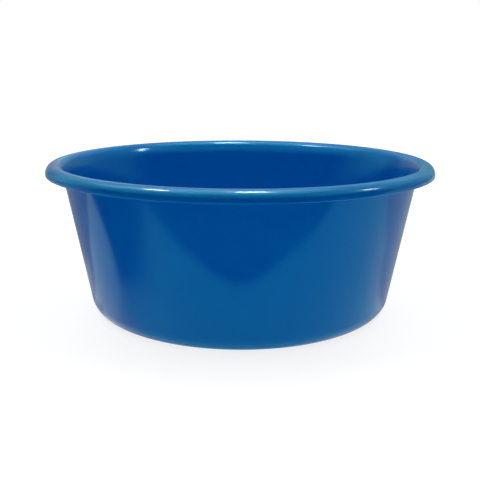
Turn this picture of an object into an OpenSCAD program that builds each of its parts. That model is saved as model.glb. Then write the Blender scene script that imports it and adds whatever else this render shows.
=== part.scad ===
// Round feed bucket with a leaning wall, a rounded heel and a flared, half-round rolled rim.
// It is one moulding, drawn as four rings that meet face to face: base, heel, side wall and rolled rim.
// Millimetres. The origin is the middle of the base on the floor, with +Z up the bucket's own axis.

/* [Overall] */
// Diameter across the outside of the rolled rim
rim_d = 380; // [300:1:460]
// Height from the floor to the top of the rim
height = 150; // [110:1:200]

/* [Wall] */
// Thickness of the wall and of the rolled rim, square to the surface
wall_t = 2.5; // [1.6:0.1:4]
// Lean of the wall from upright, in degrees
wall_lean = 10.7; // [5:0.1:16]
// Radius outside the heel, where the wall turns into the base
heel_r = 20; // [12:0.5:30]

/* [Rolled rim] */
// Radius of the flare inside the bucket, where the wall bends out towards the roll
flare_r = 42; // [20:1:60]
// Turn of the flare, in degrees
flare_turn = 14; // [4:0.5:20]
// Radius outside the half-round roll
roll_r = 8.6; // [6.5:0.1:14]
// Drop of the lip below the middle of the roll
lip_drop = 1.9; // [0.8:0.1:8]
// Radius on the two edges of the lip
lip_edge_r = 0.7; // [0.2:0.1:0.7]

/* [Base] */
// Thickness of the base
base_t = 3; // [2:0.1:5]
// Width of the flat ring that the bucket stands on
stand_w = 22; // [10:1:30]
// Width of the slope from the standing ring up to the raised middle
slope_w = 8; // [4:0.5:12]
// Rise of the middle of the base above the floor
base_rise = 1.5; // [1:0.1:4]
// Diameter of the gate mark under the middle of the base
gate_d = 8; // [4:0.5:10]
// Gap between the gate mark and the floor
gate_gap = 0.7; // [0.3:0.1:0.9]

/* [Hidden] */
$fn = 144;
plastic_blue = [0.0, 0.33, 0.62];

// Middle of the roll's section, and the level of the lip's lower edge
rim_r = rim_d / 2;
roll_mid = [rim_r - roll_r, height - roll_r];
lip_z = roll_mid.y - lip_drop;

// Middle of the flare's section: flare and roll touch where the flare ends
flare_lean = wall_lean + flare_turn;
flare_mid = roll_mid + (flare_r - roll_r) * [cos(flare_lean), -sin(flare_lean)];

// The rim has an upper face, at depth 0, and an under face, at a depth of wall_t. The upper face runs down
// inside the bucket and the under face outside it, each straight on from the flare.
function wall_face_r(depth, z) =
    flare_mid.x - (flare_r - depth) / cos(wall_lean) + (z - flare_mid.y) * tan(wall_lean);
function wall_in_r(z) = wall_face_r(0, z);
function wall_out_r(z) = wall_face_r(wall_t, z);
wall_top_z = flare_mid.y + (flare_r - wall_t) * sin(wall_lean);

// The heel's two rounds start at one radius, where the flat base ends, and touch the wall's faces
heel_reach = tan((90 - wall_lean) / 2);
base_r = wall_out_r(0) - heel_r * heel_reach;
heel_in_r = (wall_in_r(base_t) - base_r) / heel_reach;
heel_top_z = max(heel_r, base_t + heel_in_r);

// Radii of the base's underside, from the standing ring inwards
stand_in_r = base_r - stand_w;
middle_r = stand_in_r - slope_w;

// Half section of the heel filled from its middle out to one of its two faces, up to the heel's top
module heel_fill(floor_z, round_r) {
    mid = [base_r, floor_z + round_r];
    touch = mid + round_r * [cos(wall_lean), -sin(wall_lean)];
    face_r = touch.x + (heel_top_z - touch.y) * tan(wall_lean);
    intersection() {
        translate(mid) circle(round_r);
        translate([base_r, floor_z]) square([round_r, touch.y - floor_z]);
    }
    polygon([[base_r, floor_z + round_r / 2], touch, [face_r, heel_top_z], [base_r, heel_top_z]]);
}

// Half section under one of the rim's two faces, from the wall to the lip and down to a level
module rim_fill(depth, low_z) {
    round_r = roll_r - depth;
    flare_low = flare_mid + (flare_r - depth) * [-cos(wall_lean), sin(wall_lean)];
    flare_high = roll_mid + round_r * [-cos(flare_lean), sin(flare_lean)];
    intersection() {
        translate(roll_mid) circle(round_r);
        translate(roll_mid - [round_r, lip_drop / 2]) square(2 * round_r);
    }
    intersection() {
        translate(flare_mid) circle(flare_r - depth);
        translate(flare_low) square([roll_mid.x - flare_low.x, flare_high.y - flare_low.y]);
    }
    polygon([
        [wall_face_r(depth, low_z), low_z],
        [roll_mid.x + round_r, low_z],
        roll_mid + [round_r, 0],
        [roll_mid.x, flare_high.y],
        flare_low
    ]);
}

// What rounding takes off a lower edge of the lip, on its outer side (1) or inner side (-1)
module lip_edge_cut(edge_r, side) {
    translate([edge_r - side * lip_edge_r, lip_z + lip_edge_r]) difference() {
        translate([side > 0 ? 0 : -2 * lip_edge_r, -2 * lip_edge_r]) square(2 * lip_edge_r);
        circle(lip_edge_r);
    }
}

// Half section of the base: a standing ring, a slope, a raised middle and the gate mark under it
module base_section() {
    polygon([
        [0, base_rise],
        [middle_r, base_rise],
        [stand_in_r, 0],
        [base_r, 0],
        [base_r, base_t],
        [stand_in_r, base_t],
        [middle_r, base_rise + base_t],
        [0, base_rise + base_t]
    ]);
    translate([0, gate_gap]) square([gate_d / 2, base_rise - gate_gap + base_t / 2]);
}

// Half section of the heel, between its outer and inner rounds
module heel_section() {
    difference() {
        heel_fill(0, heel_r);
        heel_fill(base_t, heel_in_r);
    }
}

// Half section of the wall, from the heel's top to the start of the flare
module wall_section() {
    polygon([
        [wall_in_r(heel_top_z), heel_top_z],
        [wall_out_r(heel_top_z), heel_top_z],
        [wall_out_r(wall_top_z), wall_top_z],
        [wall_in_r(wall_top_z), wall_top_z]
    ]);
}

// Half section of the rim, from the wall over the flare and the roll to the lip with its rounded edges
module rim_section() {
    below_z = wall_top_z - wall_t;
    difference() {
        rim_fill(0, wall_top_z);
        rim_fill(wall_t, below_z);
        translate([roll_mid.x, below_z]) square([2 * roll_r, lip_z - below_z]);
        lip_edge_cut(rim_r, 1);
        lip_edge_cut(rim_r - wall_t, -1);
    }
}

// Flat bottom that the bucket stands on
module base() {
    color(plastic_blue) rotate_extrude() base_section();
}

// Rounded turn from the base into the wall
module heel() {
    color(plastic_blue) rotate_extrude() heel_section();
}

// Leaning wall between the heel and the rim
module side_wall() {
    color(plastic_blue) rotate_extrude() wall_section();
}

// Flare and half-round rim rolled outwards, with its lip
module rolled_rim() {
    color(plastic_blue) rotate_extrude() rim_section();
}

base();
heel();
side_wall();
rolled_rim();
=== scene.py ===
"""Blue moulded feed bucket: one glossy polyethylene moulding, lathed round its axis, on a white floor."""
import math

import bpy
from mathutils import Matrix, Vector


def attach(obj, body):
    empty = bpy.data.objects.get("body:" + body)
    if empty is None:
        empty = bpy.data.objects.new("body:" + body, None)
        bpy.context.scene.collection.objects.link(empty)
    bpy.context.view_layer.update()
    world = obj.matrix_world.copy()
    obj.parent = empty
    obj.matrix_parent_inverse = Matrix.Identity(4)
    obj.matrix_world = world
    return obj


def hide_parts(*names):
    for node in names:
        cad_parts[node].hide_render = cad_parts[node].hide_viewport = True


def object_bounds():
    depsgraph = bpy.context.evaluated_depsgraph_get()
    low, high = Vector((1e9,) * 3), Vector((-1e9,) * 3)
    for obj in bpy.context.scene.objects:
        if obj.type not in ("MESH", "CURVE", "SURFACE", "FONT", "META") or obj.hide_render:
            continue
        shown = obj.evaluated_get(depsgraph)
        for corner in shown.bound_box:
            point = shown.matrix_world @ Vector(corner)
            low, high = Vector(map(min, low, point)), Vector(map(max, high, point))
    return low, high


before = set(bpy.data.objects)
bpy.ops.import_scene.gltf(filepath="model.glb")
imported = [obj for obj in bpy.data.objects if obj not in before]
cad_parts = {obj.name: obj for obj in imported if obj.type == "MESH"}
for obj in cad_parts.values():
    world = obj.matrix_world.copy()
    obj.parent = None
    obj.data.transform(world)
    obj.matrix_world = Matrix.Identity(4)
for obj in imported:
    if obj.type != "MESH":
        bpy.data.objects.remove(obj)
cad_low, cad_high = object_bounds()

# Sizes of the moulding: lengths in metres, angles in radians

MM = 0.001
RIM_R = 190 * MM
HEIGHT = cad_high.z
WALL_T = 2.5 * MM
WALL_LEAN = math.radians(10.7)
HEEL_R = 20 * MM
FLARE_R = 42 * MM
FLARE_TURN = math.radians(14)
ROLL_R = 8.6 * MM
LIP_DROP = 1.9 * MM
LIP_EDGE_R = 0.7 * MM
BASE_T = 3 * MM
STAND_W = 22 * MM
SLOPE_W = 8 * MM
SLOPE_ROUND_R = 14 * MM
BASE_RISE = 1.5 * MM
GATE_R = 4 * MM
GATE_GAP = 0.7 * MM
GATE_EDGE_R = 0.25 * MM

# Steps of the mesh: round the axis, on a wide round, on the flare and on a small edge

TURN_STEPS = 288
ROUND_STEPS = 14
FLARE_STEPS = 8
EDGE_STEPS = 4
WELD = 0.005 * MM

# Camera, as fitted to the outline in the photograph

IMAGE_PX = 480
FOCAL_PX = 758.5
SENSOR_MM = 36
CAMERA_DISTANCE = 0.778
CAMERA_ELEVATION = math.radians(13.34)
CAMERA_ROLL = math.radians(0.2)
AIM = Vector((0, 0, 0.0667))


# Node trees

class Wire:
    """An output socket. Arithmetic on wires and numbers adds Math nodes."""

    def __init__(self, tree, socket):
        self.tree = tree
        self.socket = socket

    def out(self, name):
        return Wire(self.tree, self.socket.node.outputs[name])

    def function(self, operation):
        """A Math node of one value, such as SINE or ABSOLUTE."""
        return self.tree.node("ShaderNodeMath", {"operation": operation}, {0: self})

    def math(self, operation, first, second):
        return self.tree.node("ShaderNodeMath", {"operation": operation}, {0: first, 1: second})

    def __add__(self, other):
        return self.math("ADD", self, other)

    def __radd__(self, other):
        return self.math("ADD", other, self)

    def __sub__(self, other):
        return self.math("SUBTRACT", self, other)

    def __rsub__(self, other):
        return self.math("SUBTRACT", other, self)

    def __mul__(self, other):
        return self.math("MULTIPLY", self, other)

    def __rmul__(self, other):
        return self.math("MULTIPLY", other, self)

    def __truediv__(self, other):
        return self.math("DIVIDE", self, other)

    def __rtruediv__(self, other):
        return self.math("DIVIDE", other, self)


class Tree:
    """A node tree that takes any node by its type, its settings and what its sockets hold."""

    def __init__(self, node_tree):
        self.nodes = node_tree.nodes
        self.links = node_tree.links

    def node(self, kind, settings=None, sockets=None, out=0):
        made = self.nodes.new(kind)
        for name, value in (settings or {}).items():
            if name == "items":
                self.set_items(made.index_switch_items, value)
            else:
                setattr(made, name, value)
        for name, value in (sockets or {}).items():
            if isinstance(value, Wire):
                self.links.new(value.socket, made.inputs[name])
            else:
                made.inputs[name].default_value = value
        if len(made.outputs) == 0:
            return made
        return Wire(self, made.outputs[out])

    @staticmethod
    def set_items(switch_items, count):
        while len(switch_items) < count:
            switch_items.new()


# The moulding's mesh

SIZES = {
    "Rim radius": RIM_R,
    "Height": HEIGHT,
    "Wall thickness": WALL_T,
    "Wall lean": WALL_LEAN,
    "Heel radius": HEEL_R,
    "Flare radius": FLARE_R,
    "Flare turn": FLARE_TURN,
    "Roll radius": ROLL_R,
    "Lip drop": LIP_DROP,
    "Lip edge radius": LIP_EDGE_R,
    "Base thickness": BASE_T,
    "Standing ring width": STAND_W,
    "Slope width": SLOPE_W,
    "Slope round radius": SLOPE_ROUND_R,
    "Base rise": BASE_RISE,
    "Gate radius": GATE_R,
    "Gate gap": GATE_GAP,
    "Gate edge radius": GATE_EDGE_R,
}


def tangents_meet(mid, round_r, low_lean, high_lean):
    """Where the tangents at the ends of an arc meet; a lean is a tangent's angle from upright."""
    reach = round_r / ((high_lean - low_lean) * 0.5).function("COSINE")
    lean = (high_lean + low_lean) * 0.5
    return mid[0] - reach * lean.function("COSINE"), mid[1] + reach * lean.function("SINE")


def outline_corners(size):
    """Sharp corners of the moulding's half section, each with its rounding radius and steps.

    They run from the axis along the underside, up the outside, round the rolled rim and down the inside.
    """
    wall_lean = size["Wall lean"]
    flare_lean = wall_lean + size["Flare turn"]
    lean_cos = wall_lean.function("COSINE")
    lean_tan = wall_lean.function("TANGENT")
    heel_reach = (math.pi / 4 - wall_lean * 0.5).function("TANGENT")
    rim_r = size["Rim radius"]
    height = size["Height"]
    wall_t = size["Wall thickness"]
    flare_r = size["Flare radius"]
    flare_out_r = flare_r - wall_t
    roll_r = size["Roll radius"]
    roll_in_r = roll_r - wall_t
    roll_mid = (rim_r - roll_r, height - roll_r)
    past_roll = flare_r - roll_r
    flare_mid_r = roll_mid[0] + past_roll * flare_lean.function("COSINE")
    flare_mid_z = roll_mid[1] - past_roll * flare_lean.function("SINE")
    flare_mid = (flare_mid_r, flare_mid_z)
    lip_z = roll_mid[1] - size["Lip drop"]

    def face_r(round_r, z):
        return flare_mid_r - round_r / lean_cos + (z - flare_mid_z) * lean_tan

    base_t = size["Base thickness"]
    rise = size["Base rise"]
    base_corner_r = face_r(flare_out_r, 0.0)
    base_r = base_corner_r - size["Heel radius"] * heel_reach
    inner_corner_r = face_r(flare_r, base_t)
    heel_in_r = (inner_corner_r - base_r) / heel_reach
    stand_in_r = base_r - size["Standing ring width"]
    middle_r = stand_in_r - size["Slope width"]
    gate_r = size["Gate radius"]
    gate_z = size["Gate gap"]
    slope_r = size["Slope round radius"]
    gate_edge = size["Gate edge radius"]
    lip_edge = size["Lip edge radius"]
    under_z = height - wall_t
    lip_in_r = rim_r - wall_t
    return [
        (0.0, gate_z, 0.0, 1),
        (gate_r, gate_z, gate_edge, EDGE_STEPS),
        (gate_r, rise, gate_edge, EDGE_STEPS),
        (middle_r, rise, slope_r, EDGE_STEPS),
        (stand_in_r, 0.0, slope_r, EDGE_STEPS),
        (base_corner_r, 0.0, size["Heel radius"], ROUND_STEPS),
        (*tangents_meet(flare_mid, flare_out_r, wall_lean, flare_lean), flare_out_r, FLARE_STEPS),
        (*tangents_meet(roll_mid, roll_in_r, flare_lean, math.pi / 2), roll_in_r, ROUND_STEPS),
        (lip_in_r, under_z, roll_in_r, ROUND_STEPS),
        (lip_in_r, lip_z, lip_edge, EDGE_STEPS),
        (rim_r, lip_z, lip_edge, EDGE_STEPS),
        (rim_r, height, roll_r, ROUND_STEPS),
        (*tangents_meet(roll_mid, roll_r, flare_lean, math.pi / 2), roll_r, ROUND_STEPS),
        (*tangents_meet(flare_mid, flare_r, wall_lean, flare_lean), flare_r, FLARE_STEPS),
        (inner_corner_r, base_t, heel_in_r, ROUND_STEPS),
        (stand_in_r, base_t, slope_r, EDGE_STEPS),
        (middle_r, base_t + rise, slope_r, EDGE_STEPS),
        (0.0, base_t + rise, 0.0, 1),
    ]


def lathe_tree(plastic):
    """Geometry nodes that draw the half section, round its corners and turn it once round the axis."""
    group = bpy.data.node_groups.new("moulded_bucket", "GeometryNodeTree")
    for name in SIZES:
        group.interface.new_socket(name, in_out="INPUT", socket_type="NodeSocketFloat")
    group.interface.new_socket("Geometry", in_out="OUTPUT", socket_type="NodeSocketGeometry")
    tree = Tree(group)
    inputs = tree.node("NodeGroupInput")
    size = {name: inputs.out(name) for name in SIZES}
    corners = outline_corners(size)
    index = tree.node("GeometryNodeInputIndex")

    def by_corner(data_type, values):
        sockets = {str(i): value for i, value in enumerate(values)}
        return tree.node(
            "GeometryNodeIndexSwitch",
            {"data_type": data_type, "items": len(values)},
            {"Index": index, **sockets},
        )

    path_r = size["Rim radius"]
    points = [
        tree.node("ShaderNodeCombineXYZ", None, {"X": r - path_r, "Y": z * -1.0})
        for r, z, _, _ in corners
    ]
    line = tree.node("GeometryNodeCurvePrimitiveLine")
    line = tree.node("GeometryNodeResampleCurve", None, {"Curve": line, "Count": len(corners)})
    section = tree.node(
        "GeometryNodeSetPosition",
        None,
        {"Geometry": line, "Position": by_corner("VECTOR", points)},
    )
    section = tree.node(
        "GeometryNodeFilletCurve",
        {"mode": "POLY"},
        {
            "Curve": section,
            "Radius": by_corner("FLOAT", [round_r for _, _, round_r, _ in corners]),
            "Count": by_corner("INT", [steps for _, _, _, steps in corners]),
        },
    )
    path = tree.node(
        "GeometryNodeCurvePrimitiveCircle",
        None,
        {"Resolution": TURN_STEPS, "Radius": path_r},
    )
    skin = tree.node("GeometryNodeCurveToMesh", None, {"Curve": path, "Profile Curve": section})
    skin = tree.node("GeometryNodeFlipFaces", None, {"Mesh": skin})
    skin = tree.node("GeometryNodeMergeByDistance", None, {"Geometry": skin, "Distance": WELD})
    skin = tree.node("GeometryNodeSetShadeSmooth", None, {0: skin})
    skin = tree.node("GeometryNodeRealizeInstances", None, {0: skin})
    skin = tree.node("GeometryNodeSetMaterial", None, {"Geometry": skin, "Material": plastic})
    tree.node("NodeGroupOutput", None, {"Geometry": skin})
    return group


def bucket_moulding(plastic):
    """The whole moulding as one plain mesh with normals that stay true on its flats."""
    group = lathe_tree(plastic)
    maker = bpy.data.objects.new("lathe", bpy.data.meshes.new("lathe"))
    bpy.context.scene.collection.objects.link(maker)
    lathe = maker.modifiers.new("lathe", "NODES")
    lathe.node_group = group
    for item in group.interface.items_tree:
        if item.in_out == "INPUT":
            lathe[item.identifier] = SIZES[item.name]
    flats = maker.modifiers.new("true flats", "WEIGHTED_NORMAL")
    flats.keep_sharp = True
    evaluated = maker.evaluated_get(bpy.context.evaluated_depsgraph_get())
    mesh = bpy.data.meshes.new_from_object(evaluated)
    bpy.data.objects.remove(maker)
    piece = bpy.data.objects.new("bucket_moulding", mesh)
    bpy.context.scene.collection.objects.link(piece)
    return piece


# What the materials share; the last value is the place of the colour among a mix's results

BLACK = (0, 0, 0, 1)
WHITE = (1, 1, 1, 1)
COOL = (0.5, 1, 1, 1)
NEUTRAL = (1, 0.97, 1, 1)
EVEN = (1, 1, 1)
NOISE_MIDDLE = 0.5
MIXED_COLOUR = 2


def new_material(name):
    material = bpy.data.materials.new(name)
    material.use_nodes = True
    material.node_tree.nodes.clear()
    return material, Tree(material.node_tree)


def object_place(tree):
    """The place on a piece, as a vector and along its three axes."""
    place = tree.node("ShaderNodeTexCoord").out("Object")
    axes = tree.node("ShaderNodeSeparateXYZ", None, {0: place})
    return place, axes.out("X"), axes.out("Y"), axes.out("Z")


def length(vector):
    return vector.tree.node("ShaderNodeVectorMath", {"operation": "LENGTH"}, {0: vector}, "Value")


def ease(value, low, high):
    """0 below low, 1 above high and a smooth step between them; low may be the larger."""
    return value.tree.node(
        "ShaderNodeMapRange",
        {"interpolation_type": "SMOOTHSTEP"},
        {"Value": value, "From Min": low, "From Max": high},
    )


def region(place, edges):
    """1 inside a region and 0 outside; an edge is a measure's name, where it is 0 and where it is 1."""
    parts = [ease(place[name], low, high) for name, low, high in edges]
    return math.prod(parts[1:], start=parts[0])


def blend(factor, first, second):
    """A colour between two colours, or past the second one where the factor is over 1."""
    return factor.tree.node(
        "ShaderNodeMix",
        {"data_type": "RGBA", "clamp_factor": False},
        {"Factor": factor, "A": first, "B": second},
        MIXED_COLOUR,
    )


def glow(colour, level):
    """A surface that glows in this colour; at level 1 a white one is as bright as white paper."""
    light = blend(level, BLACK, colour)
    return level.tree.node("ShaderNodeEmission", None, {"Color": light, "Strength": 1.0})


def add_light(first, second):
    return first.tree.node("ShaderNodeAddShader", None, {0: first, 1: second})


def noise(place, waves, detail, stretch=EVEN):
    """Noise about its middle with so many waves in a metre, stretched along the axes."""
    place = place.tree.node("ShaderNodeMapping", None, {"Vector": place, "Scale": stretch})
    sockets = {"Vector": place, "Scale": waves, "Detail": detail}
    return place.tree.node("ShaderNodeTexNoise", None, sockets)


def seen_directly(tree):
    """1 for rays from the camera, from gloss and through glass, 0 for rays that gather soft light."""
    path = tree.node("ShaderNodeLightPath")
    seen = path.out("Is Camera Ray") + path.out("Is Glossy Ray") + path.out("Is Transmission Ray")
    return tree.node("ShaderNodeMath", {"operation": "MINIMUM"}, {0: seen, 1: 1.0})


# The plastic: colours, gloss, how deep light goes, and the marks of the mould and of use

PLASTIC_BLUE = (0.0, 0.103, 0.34, 1)
RUBBED_BLUE = (0.05, 0.16, 0.4, 1)
GLOSS = 0.12
GLOSS_TINT = (0.12, 0.95, 0.9, 1)
LIGHT_DEPTH = 12 * MM
LIGHT_SPREAD = (0.2, 0.7, 1.0)
RELIEF = 0.0025 * MM
TURNED_PITCH = 0.8 * MM
TURNED_TOP = (5 * MM, 4 * MM)
STAND_TOP = (1.2 * MM, 0.2 * MM)

# Noises: waves in a metre, detail and, where it isn't even, the stretch along the axes

CLOUDS = (9, 3)
FLOW = (60, 2, (1, 1, 0.08))
GRAIN = (1400, 1)
PEEL = (420, 1)
HAIRLINES = (700, 1, (1, 1, 0.02))
HANDLED = (14, 2)
RUB = (260, 3)

# Where a noise starts to show as a mark and where the mark is full

HAIRLINES_SHOW = (0.66, 0.74)
HANDLED_SHOWS = (0.5, 0.66)
RUB_SHOWS = (0.42, 0.62)

# How strongly each mark changes the colour, the gloss and the relief

CLOUDS_TONE = 0.1
FLOW_TONE = 0.05
GRAIN_TONE = 0.06
RUB_TONE = 0.35
CLOUDS_ROUGH = 0.04
HAIRLINES_ROUGH = 0.1
RUB_ROUGH = 0.3
PEEL_RELIEF = 0.3
TURNED_RELIEF = 0.25
HAIRLINES_RELIEF = 0.5


def blue_polyethylene():
    """Glossy royal blue plastic as it leaves the mould, with faint marks of its making and of use."""
    material, tree = new_material("blue_polyethylene")
    place, x, y, height = object_place(tree)
    radius = length(tree.node("ShaderNodeCombineXYZ", None, {"X": x, "Y": y}))

    clouds = noise(place, *CLOUDS) - NOISE_MIDDLE
    flow = noise(place, *FLOW) - NOISE_MIDDLE
    grain = noise(place, *GRAIN) - NOISE_MIDDLE
    peel = noise(place, *PEEL)
    hairlines = ease(noise(place, *HAIRLINES), *HAIRLINES_SHOW)
    hairlines = hairlines * ease(noise(place, *HANDLED), *HANDLED_SHOWS)
    turned = (radius * (2 * math.pi / TURNED_PITCH)).function("SINE")
    turned = turned * ease(height, *TURNED_TOP)
    worn = ease(height, *STAND_TOP) * ease(noise(place, *RUB), *RUB_SHOWS)

    tone = 1 + clouds * CLOUDS_TONE + flow * FLOW_TONE + grain * GRAIN_TONE
    rubbed = blend(worn * RUB_TONE, PLASTIC_BLUE, RUBBED_BLUE)
    colour = tree.node("ShaderNodeVectorMath", {"operation": "SCALE"}, {0: rubbed, "Scale": tone})
    rough = GLOSS + clouds * CLOUDS_ROUGH + hairlines * HAIRLINES_ROUGH + worn * RUB_ROUGH
    relief = peel * PEEL_RELIEF + turned * TURNED_RELIEF - hairlines * HAIRLINES_RELIEF
    bump = tree.node("ShaderNodeBump", None, {"Height": relief, "Strength": 1.0, "Distance": RELIEF})
    shader = tree.node(
        "ShaderNodeBsdfPrincipled",
        None,
        {
            "Base Color": colour,
            "Roughness": rough,
            "Specular Tint": GLOSS_TINT,
            "Subsurface Weight": 1.0,
            "Subsurface Radius": LIGHT_SPREAD,
            "Subsurface Scale": LIGHT_DEPTH,
            "Normal": bump,
        },
    )
    tree.node("ShaderNodeOutputMaterial", None, {"Surface": shader})
    return material


# The floor: its paint, which fades where it is seen so that only a faint shadow stays, and its glow

FLOOR_REACH = 6.0
FLOOR_DROP = 0.2 * MM
FLOOR_PAINT = 0.95
FLOOR_FADE = 0.65
FLOOR_DIMS = 0.15
FLOOR_SIDES = (0.1, 0.3)
FLOOR_GLOW = 0.18
FLOOR_LIFT = 0.8
FLOOR_NEAR = 0.16
FLOOR_NEARNESS = (0.8, 0.3)


def white_floor():
    """White floor that keeps a faint shadow of the object, dims to the sides and is open from below."""
    material, tree = new_material("white_floor")
    seen = seen_directly(tree)
    place, x, _, _ = object_place(tree)
    dims = ease(x.function("ABSOLUTE"), *FLOOR_SIDES) * (1 - seen) * FLOOR_DIMS
    white = FLOOR_PAINT - seen * FLOOR_FADE - dims
    paint = tree.node(
        "ShaderNodeBsdfPrincipled",
        None,
        {"Base Color": white, "Roughness": 1.0, "Specular IOR Level": 0.0},
    )
    lift = FLOOR_GLOW + seen * (FLOOR_LIFT - ease(length(place), *FLOOR_NEARNESS) * FLOOR_NEAR)
    top = add_light(paint, glow(WHITE, lift))
    below = tree.node("ShaderNodeNewGeometry").out("Backfacing")
    opening = tree.node("ShaderNodeBsdfTransparent")
    shader = tree.node("ShaderNodeMixShader", None, {0: below, 1: top, 2: opening})
    tree.node("ShaderNodeOutputMaterial", None, {"Surface": shader})
    return material


# The table that only reflections show, in metres: x to the right, y to the back, side without its sign
# and away from the bucket's axis

TABLE_REACH = 2.5
TABLE_LIFT = 0.3 * MM
TABLE_LEVEL = 0.9
TABLE_COLOUR = (0.55, 1, 1, 1)
TABLE_PALE = (0.82, 0.94, 0.96, 1)
# Painted blue light that the bucket bounces onto the table in front of its foot
TABLE_BLUE_BOUNCE = (0.35, 1.0, 1.1, 1)
BACK_COLOUR = (0.86, 0.93, 0.93, 1)

# The table's front edge, which bulges in the middle

FRONT_EDGE = -0.27
FRONT_SOFT = 0.008
FRONT_BULGE = 0.024
FRONT_MIDDLE = (("side", 0.13, 0.0),)

# The line where the table dims: it slants, comes forward near the bucket and steps back on the right

BACK_EDGE = 0.0315
BACK_SLANT = 0.07
BACK_FORWARD = 0.05
BACK_NEAR = (("side", 0.33, 0.17),)
BACK_STEP = 0.01
BACK_RIGHT = (("x", 0.26, 0.32),)
BACK_SOFT = 0.004
BACK_SOFT_RIGHT = 0.007
BACK_DIMS = 0.63
BACK_DIMS_RIGHT = 0.2
BACK_DIMS_NEAR = 0.185
RIGHTWARD = (("x", -0.3, 0.3),)
ROUND_BUCKET = (("away", 0.3, 0.22),)

# The dark patch on the left and the shade in front of it

PATCH_CURVE = 1.1
PATCH_SLANT = 0.296
PATCH_TOP = (-0.082, -0.094)
PATCH_LOW_SLANT = 0.55
PATCH_LOW = (-0.06, 0.03)
PATCH_END = (("x", -0.17, -0.24),)
SHADE_START = 0.236
SHADE_SLANT = 1.45
SHADE_SIDE = (-0.2, -0.35)
SHADE_FRONT = (("y", -0.077, -0.117),)
SHADE_FAR = (("away", 0.2, 0.26),)
SHADE_NEAR = 0.4
SHADE_DEPTH = 0.95

# The shadow where the bucket stands, which is wider at both sides

CONTACT_EDGE = (0.148, 0.142)
CONTACT_DEPTH = 0.38
CONTACT_RIGHT = (("x", 0.09, 0.16),)
CONTACT_RIGHT_W = 0.015
CONTACT_LEFT = (("x", -0.1, -0.15), ("y", -0.065, -0.045))
CONTACT_LEFT_W = 0.025

# Places with a light or a tint of their own; the blue in front of the bucket's foot is painted light,
# bounced from the bucket

NEAR_FRONT = (("away", 0.24, 0.17), ("y", 0.0, -0.1))
NEAR_FRONT_MORE = 0.15
FAR_LEFT = (("x", -0.6, -0.9), ("y", 0.9, 0.4))
FAR_LEFT_LEVEL = 0.45
FAR_RIGHT = (("x", 0.6, 0.9),)
FAR_RIGHT_LEVEL = 0.2
PALE_LEFT = (("x", -0.1, -0.17), ("y", -0.135, -0.085))
PALE_RIGHT = (("x", 0.1, 0.16), ("x", 0.4, 0.27), ("y", -0.09, -0.045))
BLUE_BOUNCE_FRONT = (("away", 0.168, 0.15), ("y", -0.1, -0.13))
FOOT_SIDES = (("side", 0.03, 0.1),)
FOOT_LEFT = (("x", -0.085, -0.11), ("y", -0.13, -0.112), ("y", -0.05, -0.065), ("away", 0.185, 0.165))


def table_edges(place):
    """How far a place is past the table's front edge and past its back line, and how dim the back is."""
    x = place["x"]
    y = place["y"]
    bulge = region(place, FRONT_MIDDLE) * FRONT_BULGE
    on_table = ease(y - bulge, FRONT_EDGE - FRONT_SOFT, FRONT_EDGE + FRONT_SOFT)
    line = BACK_EDGE - x * BACK_SLANT - region(place, BACK_NEAR) * BACK_FORWARD
    line = line + region(place, BACK_RIGHT) * BACK_STEP
    right = region(place, RIGHTWARD)
    behind = ease((y - line) / (right * BACK_SOFT_RIGHT + BACK_SOFT), -1.0, 1.0)
    near = region(place, ROUND_BUCKET) * (1 - right)
    dims = BACK_DIMS - right * BACK_DIMS_RIGHT - near * BACK_DIMS_NEAR
    return on_table, behind, dims


def table_shadows(place):
    """The dark patch, the shade in front of it and the shadow where the bucket stands."""
    x = place["x"]
    y = place["y"]
    patch = ease(y - x * (x * PATCH_CURVE + PATCH_SLANT), *PATCH_TOP)
    patch = patch * ease(y - x * PATCH_LOW_SLANT, *PATCH_LOW) * region(place, PATCH_END)
    shade = ease(x - (y + SHADE_START) * SHADE_SLANT, *SHADE_SIDE) * region(place, SHADE_FRONT)
    shade = shade * (SHADE_NEAR + region(place, SHADE_FAR) * (1 - SHADE_NEAR))
    wider = region(place, CONTACT_RIGHT) * CONTACT_RIGHT_W + region(place, CONTACT_LEFT) * CONTACT_LEFT_W
    contact = ease(place["away"] - wider, *CONTACT_EDGE)
    return patch, shade, contact


def table_tint(place, contact):
    """The table's colour: paler at the bucket's sides, painted blue bounce light from the bucket in front
    of it, neutral in its shadow.
    """
    colour = blend(region(place, PALE_LEFT) + region(place, PALE_RIGHT), TABLE_COLOUR, TABLE_PALE)
    # Painted blue bounce light from the bucket, in front of its foot
    colour = blend(region(place, BLUE_BOUNCE_FRONT), colour, TABLE_BLUE_BOUNCE)
    colour = blend(contact * region(place, FOOT_SIDES), colour, NEUTRAL)
    return blend(region(place, FOOT_LEFT), colour, NEUTRAL)


def table_top():
    """The pale table as the gloss shows it, with what lies far to its left and right."""
    material, tree = new_material("table_top")
    _, x, y, _ = object_place(tree)
    away = (x * x + y * y).function("SQRT")
    place = {"x": x, "y": y, "side": x.function("ABSOLUTE"), "away": away}
    on_table, behind, dims = table_edges(place)
    patch, shade, contact = table_shadows(place)
    lit = 1 - contact * CONTACT_DEPTH
    level = TABLE_LEVEL * (1 + region(place, NEAR_FRONT) * NEAR_FRONT_MORE)
    level = level * (1 - shade * SHADE_DEPTH) * lit
    far = region(place, FAR_LEFT) * FAR_LEFT_LEVEL + region(place, FAR_RIGHT) * FAR_RIGHT_LEVEL
    ahead = on_table * (1 - behind) * (1 - patch) * level + far
    ahead = glow(table_tint(place, contact), ahead)
    back = glow(BACK_COLOUR, behind * (1 - dims) * TABLE_LEVEL * lit)
    tree.node("ShaderNodeOutputMaterial", None, {"Surface": add_light(ahead, back)})
    return material


# The room that only reflections show, in shares of its radius: across to the right, aside to either
# side, back and up

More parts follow.
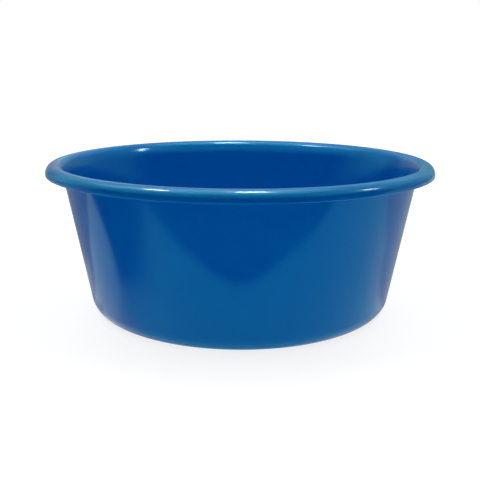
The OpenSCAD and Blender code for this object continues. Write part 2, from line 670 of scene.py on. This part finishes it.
ROOM_R = 2.4
ROOM_TURNS = 48
ROOM_RINGS = 16
WALL_LEVEL = 0.45
CEILING_LEVEL = 0.75
CEILING = (("up", 0.2, 0.7),)
FRONT_WALL = (("back", 0.2, -0.3), ("up", 0.62, 0.32))
SIDE_WALLS = (("aside", 0.4, 0.8),)
SIDE_LEVEL = 0.6
BACK_HALF = (("back", -0.1, 0.35),)
BACK_HALF_DIMS = 0.95
BACK_UPPER = (("up", 0.3, 0.55),)
BACK_UPPER_LEVEL = 0.4
FAR_WALL = (("back", 0.78, 0.93),)
FAR_WALL_DIMS = 0.15
FAR_WALL_LEFT = (("across", 0.14, -0.1),)

# The bright sky light overhead, whose edge is bent on the left and on the right

SKY_LEVEL = 2.7
SKY_COLOUR = (1.0, 1.0, 1.2, 1)
SKY_EDGE = (0.8, 0.98)
SKY_WIDENING = 0.15
SKY_LEFT = (("across", -0.4, -0.65), ("back", -0.1, 0.15))
SKY_LEFT_BEND = 0.085
SKY_RIGHT = (("across", 0.1, 0.4),)
SKY_RIGHT_BEND = 0.07

# Windows low at the back, on the left and on the right

WINDOW_COLOUR = (0.25, 1, 1, 1)
WINDOW_LEFT = (("across", -0.3, -0.65), ("back", 0.75, 0.5))
WINDOW_LEFT_LEVEL = 0.75
WINDOW_RIGHT = (("across", 0.4, 0.65),)
WINDOW_RIGHT_LEVEL = 0.27
WINDOW_BAND = (("back", 0.05, 0.4), ("up", -0.05, 0.25))
WINDOW_TOP = (("up", 0.3, 0.5),)
WINDOW_TOP_DIMS = 0.6


def room_walls(place):
    """Dim walls and a pale ceiling; the front is dark, and the back is darker at its sides."""
    walls = WALL_LEVEL + region(place, CEILING) * CEILING_LEVEL
    low_back = BACK_HALF_DIMS - region(place, BACK_UPPER) * BACK_UPPER_LEVEL
    low_back = region(place, BACK_HALF) * low_back
    sides = region(place, SIDE_WALLS) * (SIDE_LEVEL - low_back)
    far = region(place, FAR_WALL)
    walls = walls * (1 - region(place, FRONT_WALL)) * (1 + sides) * (1 - far * FAR_WALL_DIMS)
    return glow(blend(far * region(place, FAR_WALL_LEFT), COOL, NEUTRAL), walls)


def room_sky(place):
    bend = region(place, SKY_LEFT) * SKY_LEFT_BEND - region(place, SKY_RIGHT) * SKY_RIGHT_BEND
    sky = ease(place["up"] + place["aside"] * SKY_WIDENING + bend, *SKY_EDGE)
    return glow(SKY_COLOUR, sky * SKY_LEVEL)


def room_windows(place):
    left = region(place, WINDOW_LEFT) * WINDOW_LEFT_LEVEL
    right = region(place, WINDOW_RIGHT) * WINDOW_RIGHT_LEVEL
    windows = (left + right) * region(place, WINDOW_BAND)
    return glow(WINDOW_COLOUR, windows * (1 - region(place, WINDOW_TOP) * WINDOW_TOP_DIMS))


def room():
    """The room as the gloss shows it: walls and ceiling, the sky light and the windows."""
    material, tree = new_material("room")
    _, x, y, z = object_place(tree)
    across = x / ROOM_R
    place = {"across": across, "aside": across.function("ABSOLUTE"), "back": y / ROOM_R, "up": z / ROOM_R}
    light = add_light(room_walls(place), room_sky(place))
    light = add_light(light, room_windows(place))
    tree.node("ShaderNodeOutputMaterial", None, {"Surface": light})
    return material


# The board at the back that only reflections show, in metres, with a brighter part on the left

BOARD_BACK = 0.8
BOARD_LEFT = -0.44
BOARD_RIGHT = 0.15
BOARD_LOW = 0.23
BOARD_HIGH = 0.58
BOARD_SPLIT = -0.18
BOARD_COLOUR = (0.1, 1, 1, 1)
BOARD_LEVEL = 0.5
BOARD_DIM = 0.25
BOARD_BRIGHT_PART = (("x", BOARD_LEFT, -0.36), ("x", BOARD_SPLIT, -0.25))
BOARD_DIM_PART = (("x", BOARD_SPLIT, -0.1), ("x", BOARD_RIGHT, 0.07))
BOARD_BAND = (("z", BOARD_LOW, 0.34), ("z", BOARD_HIGH, 0.46))


def pale_board():
    """A faint board with soft edges, which adds its light to what is behind it."""
    material, tree = new_material("pale_board")
    _, x, _, z = object_place(tree)
    place = {"x": x, "z": z}
    level = region(place, BOARD_BRIGHT_PART) * BOARD_LEVEL + region(place, BOARD_DIM_PART) * BOARD_DIM
    light = glow(BOARD_COLOUR, level * region(place, BOARD_BAND))
    shader = add_light(tree.node("ShaderNodeBsdfTransparent"), light)
    tree.node("ShaderNodeOutputMaterial", None, {"Surface": shader})
    return material


# The stage

QUAD = [(0, 1, 2, 3)]


def stage_piece(name, corners, faces, material):
    """A piece of the stage, which isn't part of the object."""
    mesh = bpy.data.meshes.new(name)
    mesh.from_pydata([Vector(c) for c in corners], [], faces)
    mesh.materials.append(material)
    piece = bpy.data.objects.new(name, mesh)
    bpy.context.scene.collection.objects.link(piece)
    return piece


def only_in_reflections(piece):
    piece.visible_camera = False
    piece.visible_diffuse = False
    piece.visible_shadow = False
    piece.visible_transmission = False


def square_corners(reach, z):
    return [(-reach, -reach, z), (reach, -reach, z), (reach, reach, z), (-reach, reach, z)]


def board_corners():
    low = [(BOARD_LEFT, BOARD_BACK, BOARD_LOW), (BOARD_RIGHT, BOARD_BACK, BOARD_LOW)]
    high = [(BOARD_RIGHT, BOARD_BACK, BOARD_HIGH), (BOARD_LEFT, BOARD_BACK, BOARD_HIGH)]
    return low + high


def dome(radius, turns, rings):
    """Corners and faces of a half sphere over the floor."""
    corners = []
    for ring in range(rings):
        rise = math.pi / 2 * ring / rings
        reach = radius * math.cos(rise)
        for step in range(turns):
            turn = 2 * math.pi * step / turns
            corners.append((reach * math.cos(turn), reach * math.sin(turn), radius * math.sin(rise)))
    faces = []
    for low in range(0, (rings - 1) * turns, turns):
        for step in range(turns):
            after = (step + 1) % turns
            faces.append((low + step, low + after, low + turns + after, low + turns + step))
    faces.append(tuple(range((rings - 1) * turns, rings * turns)))
    return corners, faces


def make_stage():
    stage_piece("floor", square_corners(FLOOR_REACH, -FLOOR_DROP), QUAD, white_floor())
    table_corners = square_corners(TABLE_REACH, TABLE_LIFT)
    only_in_reflections(stage_piece("table_card", table_corners, QUAD, table_top()))
    only_in_reflections(stage_piece("room_dome", *dome(ROOM_R, ROOM_TURNS, ROOM_RINGS), room()))
    only_in_reflections(stage_piece("back_board", board_corners(), QUAD, pale_board()))


# Lights and camera

AMBIENT = 0.24
LAMP_WHITE = (1, 1, 1)
LAMP_WARM = (1.0, 0.36, 0.46)
CEILING_LAMPS = {
    "ceiling_left": {"direction": (-0.5, 0.12, 1), "distance": 1.7, "size": (1.6, 0.8), "level": 3.9},
    "ceiling_right": {"direction": (0.5, 0.12, 1), "distance": 1.7, "size": (1.6, 0.8), "level": 3.9},
}
GLINT_LAMPS = {
    "lamp_left": {"direction": (-0.46, 0.02, 0.89), "distance": 1.42, "size": (0.21, 0.21), "level": 80},
    "lamp_middle": {"direction": (0.06, 0.03, 0.95), "distance": 1.5, "size": (0.33, 0.24), "level": 95},
    "lamp_right": {"direction": (0.82, -0.065, 0.56), "distance": 2.6, "size": (0.16, 0.32), "level": 165},
}


def lamp(name, colour, direction, distance, size, level):
    """A soft lamp that points at the rim's middle; white paper in plain light has level 1."""
    data = bpy.data.lights.new(name, "AREA")
    data.shape = "RECTANGLE"
    data.size = size[0]
    data.size_y = size[1]
    data.energy = level * math.pi * size[0] * size[1]
    data.color = colour
    aim = Vector((0, 0, HEIGHT))
    back = Vector(direction).normalized()
    piece = bpy.data.objects.new(name, data)
    piece.location = aim + back * distance
    piece.rotation_euler = back.to_track_quat("Z", "Y").to_euler()
    bpy.context.scene.collection.objects.link(piece)
    return piece


def make_world():
    world = bpy.data.worlds.new("white_room")
    world.use_nodes = True
    world.node_tree.nodes.clear()
    tree = Tree(world.node_tree)
    level = AMBIENT + seen_directly(tree) * (1 - AMBIENT)
    sky = tree.node("ShaderNodeBackground", None, {"Color": WHITE, "Strength": level})
    tree.node("ShaderNodeOutputWorld", None, {"Surface": sky})
    bpy.context.scene.world = world


def make_lights():
    """Ceiling lamps that light the plastic but leave no glint, and small lamps that leave only glints."""
    for name, setting in CEILING_LAMPS.items():
        lamp(name, LAMP_WHITE, **setting).visible_glossy = False
    for name, setting in GLINT_LAMPS.items():
        lamp(name, LAMP_WARM, **setting).visible_diffuse = False
    make_world()


def make_camera():
    data = bpy.data.cameras.new("camera")
    data.sensor_width = SENSOR_MM
    data.lens = FOCAL_PX / IMAGE_PX * SENSOR_MM
    back = Vector((0, -math.cos(CAMERA_ELEVATION), math.sin(CAMERA_ELEVATION)))
    piece = bpy.data.objects.new("camera", data)
    turn = back.to_track_quat("Z", "Y").to_matrix().to_4x4()
    roll = Matrix.Rotation(CAMERA_ROLL, 4, "Z")
    piece.matrix_world = Matrix.Translation(AIM + back * CAMERA_DISTANCE) @ turn @ roll
    bpy.context.scene.collection.objects.link(piece)
    bpy.context.scene.camera = piece


bpy.context.scene.view_settings.view_transform = "Standard"
make_camera()
make_stage()
make_lights()

moulding = bucket_moulding(blue_polyethylene())
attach(moulding, "root")
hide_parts("base", "heel", "side_wall", "rolled_rim")
